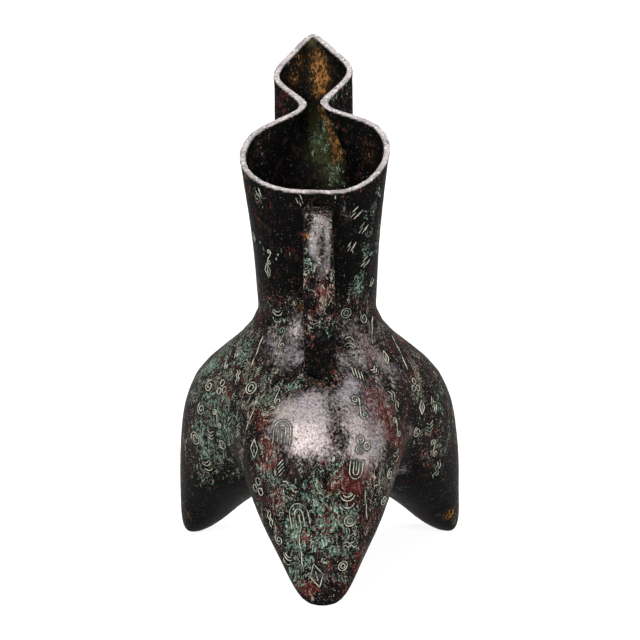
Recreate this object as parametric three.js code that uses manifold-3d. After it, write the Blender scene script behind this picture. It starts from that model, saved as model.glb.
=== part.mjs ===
// A Chinese ritual bronze wine pourer: a tall neck whose mouth is pinched into a spout, three hollow bag
// legs that open into one belly, and a strap handle over the rear leg. Millimetres, +Z up, standing on
// Z = 0, with the handle towards -Y and the spout towards +Y.
//
// The vessel is cast in sections. The three bag legs meet edge to edge along the creases between them, the
// neck is lapped into the ring that they form at the waist, and the handle is cast on with a tenon at each
// end that runs through the wall and is locked inside by a rivet head. Small bronze spacers, which held the
// casting core off the mould, stay in the walls for good.
import * as THREE from "three";
import { mergeVertices } from "three/addons/utils/BufferGeometryUtils.js";
import Module from "manifold-3d";

const wasm = await Module();
wasm.setup();

// Driving dimensions
const waistHeight = 153;
const waistRadius = 34.8;
const legWall = 3.4;
const neckWall = 3.7;
const jointGap = 0.3; // clearance at every face where two castings meet
const lapDepth = 6; // how far the neck reaches down inside the waist
const lapRadius = waistRadius - legWall / 2;
const creaseBlend = 18; // how far the fillet reaches between two bag legs
const creaseFade = 30; // distance below the waist over which that fillet grows to its full size
const creaseFoot = 66; // height below which two bag legs part
const footRadius = 87; // distance of each foot from the vessel's axis
const footSink = 0.9; // how much of each foot tip is worn to a flat
const hollowFoot = 6.5; // height at which the hollow of a leg ends
const lipHeight = 0.8; // crown of the rounded lip
const rimSideSlope = 0.066; // the mouth stands a little higher on its right side
const sideLean = 0.015; // sideways lean of the whole vessel for each millimetre of height

// Each leg's direction in plan: the rear leg stands under the handle, the other two under the spout.
const legDirections = {
  rear: -Math.PI / 2,
  right: Math.PI / 6,
  left: (5 * Math.PI) / 6,
};

// The leg's outline in its own radial plane, as [distance from the vessel's axis, height]. Both curves
// start at the foot tip and end at the waist; negative distances lie past the axis.
const legFront = [
  [footRadius, -footSink],
  [91.5, 1.2],
  [93.4, 12],
  [91.8, 34],
  [90, 58],
  [87, 79],
  [83, 94],
  [75, 110],
  [59, 125],
  [42, 140],
  [waistRadius, waistHeight],
];
const legBack = [
  [footRadius, -footSink],
  [81, 0.8],
  [70, 8],
  [54, 22],
  [32, 38],
  [6, 56],
  [-18, 80],
  [-31, 108],
  [-waistRadius, waistHeight],
];
// Half of the leg's width across that plane, as [half width, height].
const legHalfWidth = [
  [0, -footSink],
  [9, 1.2],
  [16, 8],
  [25.5, 25],
  [38, 48],
  [47, 72],
  [50.5, 92],
  [47, 112],
  [38.5, 132],
  [waistRadius, waistHeight],
];

// Half of the mouth's outline seen from above, as [x, y], from the handle side to the tip of the spout.
const mouthOutline = [
  [0, -39],
  [17, -37.5],
  [32, -29],
  [42, -15],
  [43.6, -1],
  [37.5, 11.5],
  [22.5, 20.5],
  [10.8, 26.5],
  [8, 31],
  [10.6, 35.5],
  [17, 42.5],
  [22, 48.5],
  [23.6, 53],
  [21.5, 58],
  [13.5, 66],
  [4.8, 74.5],
  [0, 76.5],
];
// Height of the mouth's edge along the vessel, as [y, height].
const mouthHeight = [
  [-45, 227],
  [-39, 230.3],
  [-8, 246.5],
  [31, 268.9],
  [52, 281.6],
  [75, 298.7],
  [80, 302.5],
];
// The neck between waist and mouth swells to a drop shape, whose reach differs by direction.
const dropReach = { side: 43, spout: 58, handle: 40 };
const dropFlare = 0.8; // 1 is a straight flare, 0 one that opens late
const pinchFade = 2; // how fast the pinch opens out below the mouth
const pinchRib = { at: 31, reach: 8, thicker: 0.25 }; // the wall is thicker at the pinch of the mouth

// The handle's path in the plane of symmetry, as [y, height, width relative to the strap's].
const strapWidth = 16.6;
const strapThickness = 6.4;
const strapCorners = { side: 0.8, face: 0.9 }; // 1 is an ellipse, less is squarer
const strapPath = [
  [-30, 216, 1.04],
  [-38, 221, 0.96],
  [-46, 222, 0.9],
  [-53, 217, 0.92],
  [-56.6, 207, 0.96],
  [-57.4, 190, 1],
  [-57, 165, 1.02],
  [-56, 147, 1.04],
  [-53.5, 134, 1.06],
  [-49, 124, 1.1],
  [-43, 116, 1.14],
];

// A tenon's place: where it starts inside the strap, and its direction into the vessel, in the Y-Z plane.
const tenonRadius = 3.6;
const tenons = {
  upper: { start: [-43, 219], towards: [1, -0.06], length: 11.4 },
  lower: { start: [-54.5, 132.5], towards: [0.72, -0.7], length: 13.4 },
};
// A rivet head's outline as [radius, height along the tenon], and how far it is drawn back over the tenon.
const rivetSeat = 1.2;
const rivetOutline = [
  [0, -5],
  [7.4, -5],
  [7.4, 0.4],
  [6.6, 1.5],
  [4.6, 2.4],
  [2.2, 2.8],
  [0, 2.9],
];

// Spacers, as [degrees round the leg or the neck, height].
const spacerSize = 7;
const spacerReach = 14; // depth of the block that is cut to the wall's thickness
const neckSpacerRadius = 37;
const legSpacers = [
  [0, 62],
  [62, 84],
  [-62, 84],
];
const neckSpacers = [
  [40, 178],
  [140, 178],
  [270, 178],
];

// Sampling
const profileSamples = 240;
const legRows = 24;
const legSides = [11, 6]; // samples before and past the crease, for half a ring
const innerRows = 14;
const innerSides = [8, 5];
const footGather = 1.55; // above 1 gathers the leg's rows towards the foot
const firstRow = 0.35; // place of the lowest row, in rows above the tip
const creaseGather = 1.35; // above 1 gathers a ring's samples towards the crease
const creaseSearch = { from: 0.4, step: 0.035, count: 70, halvings: 8 };
const blendPasses = 14;
const waistOverrun = 12; // a leg's form runs on past the waist before it is trimmed
const neckRows = 12;
const neckGather = 0.92;
const outlineStep = 2; // samples for each named point of the mouth's outline
const lipSteps = [0.12, 0.5, 0.88];
const strapRows = 24;
const strapSides = 16;
const roundSides = 24;
const lapSides = 96;

const sixth = Math.PI / 3; // half of the angle that one leg takes up in plan

const bronze = (color, roughness) => new THREE.MeshStandardMaterial({ color, roughness, metalness: 0.9 });
const darkBronze = () => bronze(0x2b2826, 0.42);
const wornBronze = () => bronze(0x4a423c, 0.35);

// A profile is a smooth curve through a few points, sampled finely.
function profile(points) {
  const curve = new THREE.SplineCurve(points.map(([r, z]) => new THREE.Vector2(r, z)));
  return curve.getPoints(profileSamples);
}

// Moves a profile sideways by a distance; positive moves it to the left of its direction of travel.
function offsetProfile(samples, distance) {
  return samples.map((point, i) => {
    const before = samples[Math.max(i - 1, 0)];
    const after = samples[Math.min(i + 1, samples.length - 1)];
    const along = after.clone().sub(before).normalize();
    return new THREE.Vector2(point.x - along.y * distance, point.y + along.x * distance);
  });
}

// The profile's first coordinate at a height.
function valueAt(samples, height) {
  if (height <= samples[0].y) return samples[0].x;
  const next = samples.findIndex((point) => point.y >= height);
  if (next < 0) return samples[samples.length - 1].x;
  const [low, high] = [samples[next - 1], samples[next]];
  const share = (height - low.y) / Math.max(high.y - low.y, 1e-9);
  return THREE.MathUtils.lerp(low.x, high.x, share);
}

// The triangles that fill one level ring.
function fillRing(ring) {
  const outline = ring.map((p) => new THREE.Vector2(p.x, p.y));
  return THREE.ShapeUtils.triangulateShape(outline, []);
}

// The triangles that fill one rounded ring at any slant.
const fanRing = (ring) => ring.slice(2).map((_, i) => [0, i + 1, i + 2]);

// A closed surface through rings of equal length, listed from the bottom up and counterclockwise seen from
// above. The first and the last ring are filled in, or joined to each other where there is no fill.
function loft(rings, fill) {
  const count = rings[0].length;
  const points = rings.flat();
  const faces = [];
  for (let row = 0; row < rings.length - (fill ? 1 : 0); row++) {
    const above = (row + 1) % rings.length;
    for (let i = 0; i < count; i++) {
      const j = (i + 1) % count;
      const [a, b, c, d] = [row * count + i, row * count + j, above * count + j, above * count + i];
      faces.push(a, b, c, a, c, d);
    }
  }
  if (fill) {
    const last = (rings.length - 1) * count;
    fill(rings[0]).forEach(([a, b, c]) => faces.push(a, c, b));
    fill(rings[rings.length - 1]).forEach(([a, b, c]) => faces.push(last + a, last + b, last + c));
  }
  return new THREE.BufferGeometry().setFromPoints(points).setIndex(faces);
}

function solidOf(geometry) {
  const bare = geometry.clone();
  bare.deleteAttribute("normal");
  bare.deleteAttribute("uv");
  const merged = mergeVertices(bare, 1e-4);
  return new wasm.Manifold(
    new wasm.Mesh({
      numProp: 3,
      vertProperties: new Float32Array(merged.attributes.position.array),
      triVerts: new Uint32Array(merged.index.array),
    }),
  );
}

function geometryOf(solid) {
  const mesh = solid.getMesh();
  const geometry = new THREE.BufferGeometry();
  geometry.setAttribute("position", new THREE.BufferAttribute(new Float32Array(mesh.vertProperties), 3));
  geometry.setIndex(new THREE.BufferAttribute(new Uint32Array(mesh.triVerts), 1));
  geometry.computeVertexNormals();
  return geometry;
}

function meshOf(name, solid, material) {
  const mesh = new THREE.Mesh(geometryOf(solid), material);
  mesh.name = name;
  return mesh;
}

const cut = (solid, tools) => tools.reduce((rest, tool) => rest.subtract(tool), solid);

// The bag legs. A leg's section at any height is an ellipse between its front and back profiles.
function legForm(inset) {
  return {
    front: offsetProfile(profile(legFront), inset),
    back: offsetProfile(profile(legBack), -inset),
    halfWidth: offsetProfile(profile(legHalfWidth), inset),
  };
}

function legSection(form, height) {
  const front = valueAt(form.front, height);
  const back = valueAt(form.back, height);
  return {
    centre: (front + back) / 2,
    reach: Math.max((front - back) / 2, 0.01),
    halfWidth: Math.max(valueAt(form.halfWidth, height), 0.01),
  };
}

// How far a point lies outside a leg's section, about in millimetres, with the leg along +X.
function outsideBy(section, x, y) {
  const share = Math.hypot((x - section.centre) / section.reach, y / section.halfWidth);
  return (share - 1) * Math.min(section.reach, section.halfWidth);
}

// A point of the leg's ring, pushed out where the ring runs into a neighbour's fillet.
function legPoint(form, height, angle) {
  const section = legSection(form, height);
  const blend = creaseBlend * THREE.MathUtils.smoothstep(waistHeight - height, 0, creaseFade);
  const smaller = Math.min(section.reach, section.halfWidth);
  const at = (stretch) => [
    section.centre + section.reach * Math.cos(angle) * stretch,
    section.halfWidth * Math.sin(angle) * stretch,
  ];
  let stretch = 1;
  for (let pass = 0; pass < blendPasses && blend > 0; pass++) {
    const [x, y] = at(stretch);
    const others = [-1, 1].map((side) => {
      const [c, s] = [Math.cos(side * 2 * sixth), Math.sin(side * 2 * sixth)];
      return outsideBy(section, x * c + y * s, y * c - x * s);
    });
    const nearness = Math.max(1 - Math.abs(outsideBy(section, x, y) - Math.min(...others)) / blend, 0);
    stretch = (stretch + 1 + (nearness ** 2 * blend) / 4 / smaller) / 2;
  }
  return new THREE.Vector3(...at(stretch), height);
}

// The angle at which a ring crosses, or comes nearest to, the crease that it shares with its neighbour.
function creaseAngle(form, height) {
  const beyond = (angle) => {
    const p = legPoint(form, height, angle);
    return p.y * Math.cos(sixth) - p.x * Math.sin(sixth);
  };
  const { from, step, count, halvings } = creaseSearch;
  const steps = Array.from({ length: count }, (_, i) => from + i * step);
  const first = steps.findIndex((angle) => beyond(angle) > 0);
  if (first < 0) return steps.reduce((best, angle) => (beyond(angle) > beyond(best) ? angle : best));
  let [low, high] = [steps[first] - step, steps[first]];
  for (let pass = 0; pass < halvings; pass++) {
    const middle = (low + high) / 2;
    [low, high] = beyond(middle) > 0 ? [low, middle] : [middle, high];
  }
  return high;
}

// One ring of a leg that points along +X, with its points gathered towards the creases.
function legRing(form, height, [frontCount, backCount]) {
  const crease = creaseAngle(form, Math.max(height, creaseFoot));
  const angles = [];
  for (let i = 0; i <= frontCount; i++) angles.push(crease * (1 - (1 - i / frontCount) ** creaseGather));
  for (let i = 1; i <= backCount; i++) angles.push(crease + ((Math.PI - crease) * i) / backCount);
  const half = angles.map((angle) => legPoint(form, height, angle));
  const mirrored = half.slice(1, -1).reverse().map((p) => new THREE.Vector3(p.x, -p.y, p.z));
  return [...half, ...mirrored];
}

// A leg as a closed form from its tip to above the waist.
function legBlank(inset, tipHeight, rows, count) {
  const form = legForm(inset);
  const rings = [];
  for (let row = 0; row <= rows; row++) {
    const share = ((row + firstRow) / (rows + firstRow)) ** footGather;
    rings.push(legRing(form, THREE.MathUtils.lerp(tipHeight, waistHeight, share), count));
  }
  const top = rings[rings.length - 1].map((p) => new THREE.Vector3(p.x, p.y, waistHeight + waistOverrun));
  return solidOf(loft([...rings, top], fillRing));
}

// The third of the belly that belongs to one leg: a wedge between the creases, from the floor to the waist.
function legWedge() {
  const reach = 3 * footRadius;
  const [x, y] = [reach * Math.cos(sixth), reach * Math.sin(sixth)];
  const corners = [[0, 0], [x, -y], [reach, 0], [x, y]];
  const outline = new THREE.Shape(corners.map(([cornerX, cornerY]) => new THREE.Vector2(cornerX, cornerY)));
  const depth = waistHeight - jointGap / 2;
  return solidOf(new THREE.ExtrudeGeometry(outline, { depth, bevelEnabled: false }));
}

function legShell() {
  const outer = legBlank(0, -footSink, legRows, legSides);
  const inner = legBlank(legWall, hollowFoot, innerRows, innerSides);
  const lapRebate = new THREE.CylinderGeometry(lapRadius, lapRadius, 2 * lapDepth, lapSides);
  lapRebate.rotateX(Math.PI / 2).translate(0, 0, waistHeight);
  return cut(outer.intersect(legWedge()), [inner, solidOf(lapRebate)]);
}

// The neck. Its section changes from the waist's circle to the pinched outline of the mouth.
function closedMouth() {
  const right = mouthOutline.map(([x, y]) => new THREE.Vector3(x, y, 0));
  const left = right.slice(1, -1).reverse().map((p) => new THREE.Vector3(-p.x, p.y, 0));
  const curve = new THREE.CatmullRomCurve3([...right, ...left], true, "centripetal");
  const count = outlineStep * curve.points.length;
  return Array.from({ length: count }, (_, i) => curve.getPoint(i / count));
}

const mouth = closedMouth();
const mouthLevels = profile(mouthHeight.map(([y, z]) => [z, y]));
const mouthHeightAt = (x, y) => valueAt(mouthLevels, y) + rimSideSlope * x;

// Each point's bearing from the handle side: its share of the mouth's length, so that the metal of the
// spout spreads over the same share of the waist.
function mouthBearings() {
  const lengths = [0];
  mouth.forEach((p, i) => lengths.push(lengths[i] + p.distanceTo(mouth[(i + 1) % mouth.length])));
  return mouth.map((_, i) => (2 * Math.PI * lengths[i]) / lengths[mouth.length]);
}

const waistDirections = mouthBearings().map((turn) => new THREE.Vector3(Math.sin(turn), -Math.cos(turn), 0));

// A section between the waist's circle and the mouth: first a plain drop shape, then the pinch on top.
function neckSection(share) {
  const flare = THREE.MathUtils.lerp(share ** 2, share, dropFlare);
  return mouth.map((p, i) => {
    const { x, y } = waistDirections[i];
    const reach = THREE.MathUtils.lerp(dropReach.handle, dropReach.spout, 0.5 + 0.5 * y);
    const drop = new THREE.Vector3(x * dropReach.side, y * reach, 0);
    return new THREE.Vector3(x, y, 0).multiplyScalar(waistRadius).lerp(drop, flare).lerp(p, share ** pinchFade);
  });
}

// One ring of the neck, moved inwards by a share of the wall and raised by a little for the lip.
function neckRing(share, inset, raise = 0) {
  const outline = neckSection(share);
  const count = outline.length;
  return outline.map((p, i) => {
    const along = outline[(i + 1) % count].clone().sub(outline[(i + count - 1) % count]).normalize();
    const rim = mouth[i];
    const nearPinch = Math.exp(-(((rim.y - pinchRib.at) / pinchRib.reach) ** 2));
    const depth = inset * (inset > 0 ? 1 + pinchRib.thicker * share ** 4 * nearPinch : 1);
    const height = THREE.MathUtils.lerp(waistHeight, mouthHeightAt(rim.x, rim.y), share) + raise;
    return new THREE.Vector3(p.x - along.y * depth, p.y + along.x * depth, height);
  });
}

const waistRing = (radius, height) =>
  waistDirections.map(({ x, y }) => new THREE.Vector3(x * radius, y * radius, height));

const rowShares = Array.from({ length: neckRows + 1 }, (_, row) => (row / neckRows) ** neckGather);

// The wall as one closed sleeve: up the outside, over the lip, down the inside, round the lapped foot.
function neckShell() {
  const up = rowShares.slice(1).map((share) => neckRing(share, 0));
  const lip = lipSteps.map((step) => neckRing(1, neckWall * step, lipHeight * Math.sin(Math.PI * step)));
  const down = rowShares.slice(1).reverse().map((share) => neckRing(share, neckWall));
  const foot = [
    waistRing(waistRadius - neckWall, waistHeight - lapDepth + jointGap),
    waistRing(lapRadius - jointGap, waistHeight - lapDepth + jointGap),
    waistRing(lapRadius - jointGap, waistHeight + jointGap / 2),
    waistRing(waistRadius, waistHeight + jointGap / 2),
  ];
  return solidOf(loft([...up, ...lip, ...down, ...foot]));
}

// The space inside the neck, or the neck's full form where the inset is negative.
const neckForm = (inset) => solidOf(loft(rowShares.map((share) => neckRing(share, inset)), fillRing));

// The handle: a flat strap with rounded edges, swept along its path.
const squarer = (value, power) => Math.sign(value) * Math.abs(value) ** power;

function strapRing(centre, along, halfWidth) {
  const across = new THREE.Vector3(0, along.z, -along.y);
  return Array.from({ length: strapSides }, (_, i) => {
    const angle = (2 * Math.PI * i) / strapSides;
    const side = squarer(Math.cos(angle), strapCorners.side) * halfWidth;
    const depth = (squarer(Math.sin(angle), strapCorners.face) * strapThickness) / 2;
    return centre.clone().addScaledVector(across, depth).add(new THREE.Vector3(side, 0, 0));
  });
}

function strapForm() {
  const path = new THREE.CatmullRomCurve3(strapPath.map(([y, z]) => new THREE.Vector3(0, y, z)));
  const widths = new THREE.SplineCurve(strapPath.map(([, , w], i) => new THREE.Vector2(i, w)));
  const rings = [];
  for (let row = 0; row <= strapRows; row++) {
    const share = row / strapRows;
    const halfWidth = (strapWidth / 2) * widths.getPoint(share).y;
    rings.push(strapRing(path.getPoint(share), path.getTangent(share), halfWidth));
  }
  return solidOf(loft(rings, fanRing));
}

// Places a form made along +Z onto a tenon's axis, shifted along it.
function onTenon(geometry, tenon, shift) {
  const direction = new THREE.Vector3(0, tenon.towards[0], tenon.towards[1]).normalize();
  const turn = new THREE.Quaternion().setFromUnitVectors(new THREE.Vector3(0, 0, 1), direction);
  const start = new THREE.Vector3(0, ...tenon.start).addScaledVector(direction, shift);
  return solidOf(geometry.applyQuaternion(turn).translate(start.x, start.y, start.z));
}

function tenonPin(tenon, extra) {
  const length = tenon.length + extra;
  const radius = tenonRadius + extra;
  const pin = new THREE.CylinderGeometry(radius, radius, length, roundSides).rotateX(Math.PI / 2);
  return onTenon(pin, tenon, length / 2);
}

// The cast head that locks a tenon: a low dome bedded against the inside of the wall.
function rivetHead(tenon, inside) {
  const outline = rivetOutline.map(([r, z]) => new THREE.Vector2(r, z));
  const dome = new THREE.LatheGeometry(outline, roundSides).rotateX(Math.PI / 2);
  return onTenon(dome, tenon, tenon.length - rivetSeat).intersect(inside).subtract(tenonPin(tenon, jointGap));
}

// Spacers: small square plates as thick as the wall, each in a hole of its own shape.
function spacerBlock(extra, place, heading) {
  const size = spacerSize + 2 * extra;
  const block = new THREE.BoxGeometry(spacerReach, size, size).rotateZ(heading);
  return solidOf(block.translate(place.x, place.y, place.z));
}

function legSpacerBlocks(extra) {
  return legSpacers.map(([degrees, height]) => {
    const angle = THREE.MathUtils.degToRad(degrees);
    const section = legSection(legForm(legWall / 2), height);
    const x = section.centre + section.reach * Math.cos(angle);
    const y = section.halfWidth * Math.sin(angle);
    const heading = Math.atan2(Math.sin(angle) / section.halfWidth, Math.cos(angle) / section.reach);
    return spacerBlock(extra, new THREE.Vector3(x, y, height), heading);
  });
}

function neckSpacerBlocks(extra) {
  return neckSpacers.map(([degrees, height]) => {
    const heading = THREE.MathUtils.degToRad(degrees);
    const [x, y] = [neckSpacerRadius * Math.cos(heading), neckSpacerRadius * Math.sin(heading)];
    return spacerBlock(extra, new THREE.Vector3(x, y, height), heading);
  });
}

// A leg is made along +X, then turned to its place and moved out by half of the seam.
function legPlace(direction) {
  const out = jointGap / 2 / Math.sin(sixth);
  const place = new THREE.Group();
  place.rotation.z = direction;
  place.position.set(out * Math.cos(direction), out * Math.sin(direction), 0);
  place.updateMatrix();
  return place;
}

// Assembly. Forms in the vessel's frame that cut the rear leg are first brought back to the leg's own frame.
const strap = strapForm();
const pins = Object.values(tenons).map((tenon) => tenonPin(tenon, 0));
const pinHoles = Object.values(tenons).map((tenon) => tenonPin(tenon, jointGap));
const rearPlace = legPlace(legDirections.rear);
const toRearLeg = rearPlace.matrix.clone().invert().elements;

const vessel = new THREE.Group();
const leg = legShell();
const legWithHoles = cut(leg, legSpacerBlocks(jointGap));
const rearLegWithHoles = cut(legWithHoles, pinHoles.map((hole) => hole.transform(toRearLeg)));

for (const [side, direction] of Object.entries(legDirections)) {
  const place = legPlace(direction);
  place.add(meshOf(side + "_leg", side === "rear" ? rearLegWithHoles : legWithHoles, darkBronze()));
  legSpacerBlocks(0).forEach((block, i) => {
    place.add(meshOf(side + "_leg_spacer_" + (i + 1), leg.intersect(block), wornBronze()));
  });
  vessel.add(place);
}

const neck = neckShell();
const neckWithHoles = cut(neck, [...neckSpacerBlocks(jointGap), pinHoles[0]]);
vessel.add(meshOf("neck_and_spout", neckWithHoles, darkBronze()));
neckSpacerBlocks(0).forEach((block, i) => {
  vessel.add(meshOf("neck_spacer_" + (i + 1), neck.intersect(block), wornBronze()));
});

const fromRearLeg = rearPlace.matrix.elements;
const rearForm = legBlank(-jointGap, -footSink - jointGap, legRows, legSides).transform(fromRearLeg);
const bareStrap = cut(strap, [neckForm(-jointGap), rearForm]);
vessel.add(meshOf("strap_handle", bareStrap.add(pins[0]).add(pins[1]), wornBronze()));

const insideNeck = neckForm(neckWall + jointGap);
const insideRearLeg = legBlank(legWall + jointGap, hollowFoot + legWall / 2, innerRows, innerSides);
const rivetHeads = {
  upper_rivet_head: rivetHead(tenons.upper, insideNeck),
  lower_rivet_head: rivetHead(tenons.lower, insideRearLeg.transform(fromRearLeg)),
};
for (const [name, solid] of Object.entries(rivetHeads)) vessel.add(meshOf(name, solid, wornBronze()));

// The vessel leans a little to its left: each mesh is sheared as the whole stands, whatever its own place.
vessel.updateMatrixWorld(true);
const lean = new THREE.Matrix4().makeShear(0, 0, 0, 0, -sideLean, 0);
vessel.traverse((node) => {
  if (!node.isMesh) return;
  const there = node.matrixWorld;
  node.geometry.applyMatrix4(there.clone().invert().multiply(lean).multiply(there));
});

// The origin is the middle of the vessel's footprint on the ground.
const bounds = new THREE.Box3().setFromObject(vessel, true);
const middle = bounds.getCenter(new THREE.Vector3());
vessel.position.set(-middle.x, -middle.y, -bounds.min.z);

export default vessel;
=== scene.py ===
import math
import random

import bmesh
import bpy
import numpy as np
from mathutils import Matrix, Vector, kdtree, noise
from mathutils.bvhtree import BVHTree


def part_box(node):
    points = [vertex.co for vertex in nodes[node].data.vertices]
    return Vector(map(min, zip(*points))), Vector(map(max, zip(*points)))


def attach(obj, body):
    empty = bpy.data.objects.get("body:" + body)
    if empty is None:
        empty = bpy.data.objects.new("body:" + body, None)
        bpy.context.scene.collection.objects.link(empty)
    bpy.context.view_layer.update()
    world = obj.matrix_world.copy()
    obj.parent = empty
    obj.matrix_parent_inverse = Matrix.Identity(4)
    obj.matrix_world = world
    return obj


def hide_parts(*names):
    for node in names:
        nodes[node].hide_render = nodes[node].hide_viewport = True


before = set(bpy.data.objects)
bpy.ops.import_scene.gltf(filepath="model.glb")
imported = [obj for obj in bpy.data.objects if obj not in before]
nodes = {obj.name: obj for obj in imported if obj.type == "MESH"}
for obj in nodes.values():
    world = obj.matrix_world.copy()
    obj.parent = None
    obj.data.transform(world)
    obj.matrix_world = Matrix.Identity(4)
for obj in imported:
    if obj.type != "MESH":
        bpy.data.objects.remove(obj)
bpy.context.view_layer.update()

mm = 0.001
farOut = 0.3  # farther than any point of the vessel is from its axis


# Camera, as the photograph was taken

camera = {
    "target": (-0.35 * mm, 9.1 * mm, 145.2 * mm),
    "distance": 2.39,
    "azimuth": -0.54,  # degrees round from straight in front of the handle
    "elevation": 16.64,
    "lens": 228.9,
    "sensor": 36.0,
    "picture": 640,  # pixels on a side
    "clipEnd": 50,
}


def addCamera():
    azimuth, elevation = math.radians(camera["azimuth"]), math.radians(camera["elevation"])
    away = Vector((math.sin(azimuth) * math.cos(elevation),
                   -math.cos(azimuth) * math.cos(elevation),
                   math.sin(elevation)))
    data = bpy.data.cameras.new("camera")
    data.lens = camera["lens"]
    data.sensor_width = camera["sensor"]
    data.clip_end = camera["clipEnd"]
    made = bpy.data.objects.new("camera", data)
    made.location = Vector(camera["target"]) + away * camera["distance"]
    made.rotation_euler = away.to_track_quat("Z", "Y").to_euler()
    bpy.context.scene.collection.objects.link(made)
    bpy.context.scene.camera = made
    bpy.context.view_layer.update()
    return made


eye = addCamera()
print("camera placed")


def onSurface(tree, px, py):
    # where the line of sight through a pixel of the photograph meets the surface
    half = camera["picture"] / 2
    reach = camera["sensor"] / 2 / camera["lens"]
    local = Vector(((px - half) / half * reach, (half - py) / half * reach, -1))
    sight = (eye.rotation_euler.to_matrix() @ local).normalized()
    spot, normal, _, _ = tree.ray_cast(eye.location, sight)
    if spot is None:  # just past the edge
        spot, normal, _, _ = tree.find_nearest(eye.location + sight * camera["distance"])
    return spot, normal


# Small helpers for meshes

smoothing = {
    "doubles": 0.001 * mm,
    "levels": 20,  # steps between no smoothing and all of it
    "factor": 0.5,
}


def linkMesh(name, mesh):
    piece = bpy.data.objects.new(name, mesh)
    bpy.context.scene.collection.objects.link(piece)
    return piece


def bakeModifiers(piece):
    # the mesh with its modifiers applied takes the place of the plain one
    bpy.context.view_layer.update()
    graph = bpy.context.evaluated_depsgraph_get()
    done = bpy.data.meshes.new_from_object(piece.evaluated_get(graph))
    piece.modifiers.clear()
    old, piece.data = piece.data, done
    bpy.data.meshes.remove(old)
    done.name = piece.name
    return piece


def mergedCopy(name, nodeNames):
    work = bmesh.new()
    for nodeName in nodeNames:
        work.from_mesh(nodes[nodeName].data)
    bmesh.ops.remove_doubles(work, verts=work.verts, dist=smoothing["doubles"])
    mesh = bpy.data.meshes.new(name)
    work.to_mesh(mesh)
    work.free()
    mesh.materials.clear()
    return linkMesh(name, mesh)


def swell(piece, amount):
    push = piece.modifiers.new("swell", "DISPLACE")
    push.mid_level = 0
    push.strength = amount
    bakeModifiers(piece)


def voxelSkin(piece, voxel):
    skin = piece.modifiers.new("skin", "REMESH")
    skin.mode = "VOXEL"
    skin.voxel_size = voxel
    skin.use_smooth_shade = True
    bakeModifiers(piece)


def soften(piece, share, rounds):
    # share says how much of the smoothing each vertex gets, from 0 to 1
    group = piece.vertex_groups.new(name="soften")
    levels = smoothing["levels"]
    steps = np.round(np.clip(share, 0, 1) * levels).astype(int)
    for step in range(1, levels + 1):
        picked = np.nonzero(steps == step)[0]
        if len(picked):
            group.add(picked.tolist(), step / levels, "REPLACE")
    smooth = piece.modifiers.new("smooth", "SMOOTH")
    smooth.factor = smoothing["factor"]
    smooth.iterations = rounds
    smooth.vertex_group = group.name
    bakeModifiers(piece)
    piece.vertex_groups.clear()


def vertexArray(piece, what):
    values = np.empty(len(piece.data.vertices) * 3)
    piece.data.vertices.foreach_get(what, values)
    return values.reshape(-1, 3)


def moveTo(piece, spots):
    piece.data.vertices.foreach_set("co", spots.ravel())
    piece.data.update()


def eased(values, low, high):
    # 0 up to low and 1 from high on, with a soft rise between
    share = np.clip((values - low) / (high - low), 0, 1)
    return share * share * (3 - 2 * share)


def unevenness(spots, waves, most):
    # depth below the highest places of a cast surface
    return np.array([most * (0.5 + 0.5 * noise.noise(Vector(spot) * waves)) for spot in spots])


def writeMask(piece, name, values):
    layer = piece.data.attributes.new(name, "FLOAT", "POINT")
    layer.data.foreach_set("value", np.clip(values, 0, 1).astype(np.float32))


def treeOf(piece):
    return BVHTree.FromObject(piece, bpy.context.evaluated_depsgraph_get())


# The cast body: neck and three bag legs as one skin, parted later along the castings' joints

axisY = 9 * mm  # the neck's axis
rivetHeads = ("upper_rivet_head", "lower_rivet_head")

body = {
    "voxel": (1.0 * mm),
    "joint": 0.3 * mm,  # more than half the gap between two castings
    "smoothRounds": 30,
    "footShare": 0.12,  # share of the smoothing at the foot tips
    "footHeights": (4 * mm, 26 * mm),
    "rimDepths": (2 * mm, 7 * mm),
    "mouthFrom": 215 * mm,  # height above which the lip is near
    "lipFrom": 228 * mm,  # height above which a face that looks up is the lip's
    "lipUp": 0.6,
    "lipStop": 0.9 * mm,  # nearer to the lip, the walk over the outside stops
    "rimRaise": 4 * mm,
    "rimBearing": (243, 75),  # degrees round the axis: middle and half width
    "rimRoot": 14.5 * mm,
    "tenonReach": 9 * mm,
    "slowWaves": (38, 0.35 * mm),  # waves per metre, depth
    "finePits": (330, 0.16 * mm),
    "evenLip": (0.5 * mm, 3 * mm),  # from the lip
}


def lipTree():
    # the narrow top face of the mouth, as a search tree
    mesh = nodes["neck_and_spout"].data
    top = [face for face in mesh.polygons
           if face.normal.z > body["lipUp"] and face.center.z > body["lipFrom"]]
    return BVHTree.FromPolygons([v.co for v in mesh.vertices], [face.vertices[:] for face in top])


def lipDistances(spots):
    lip = lipTree()
    reach = np.full(len(spots), farOut)
    for index in np.nonzero(spots[:, 2] > body["mouthFrom"])[0]:
        reach[index] = lip.find_nearest(Vector(spots[index]))[3]
    return reach


def buildBody():
    cast = sorted(n for n in nodes if n == "neck_and_spout" or n.endswith("_leg") or "spacer" in n)
    whole = mergedCopy("whole_body", cast)
    swell(whole, body["joint"])  # closes the thin gaps between the castings
    voxelSkin(whole, body["voxel"])
    spots = vertexArray(whole, "co")
    lip = lipDistances(spots)
    foot = body["footShare"] + (1 - body["footShare"]) * eased(spots[:, 2], *body["footHeights"])
    soften(whole, np.minimum(eased(lip, *body["rimDepths"]), foot), body["smoothRounds"])
    swell(whole, -body["joint"])
    return whole, lip


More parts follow.
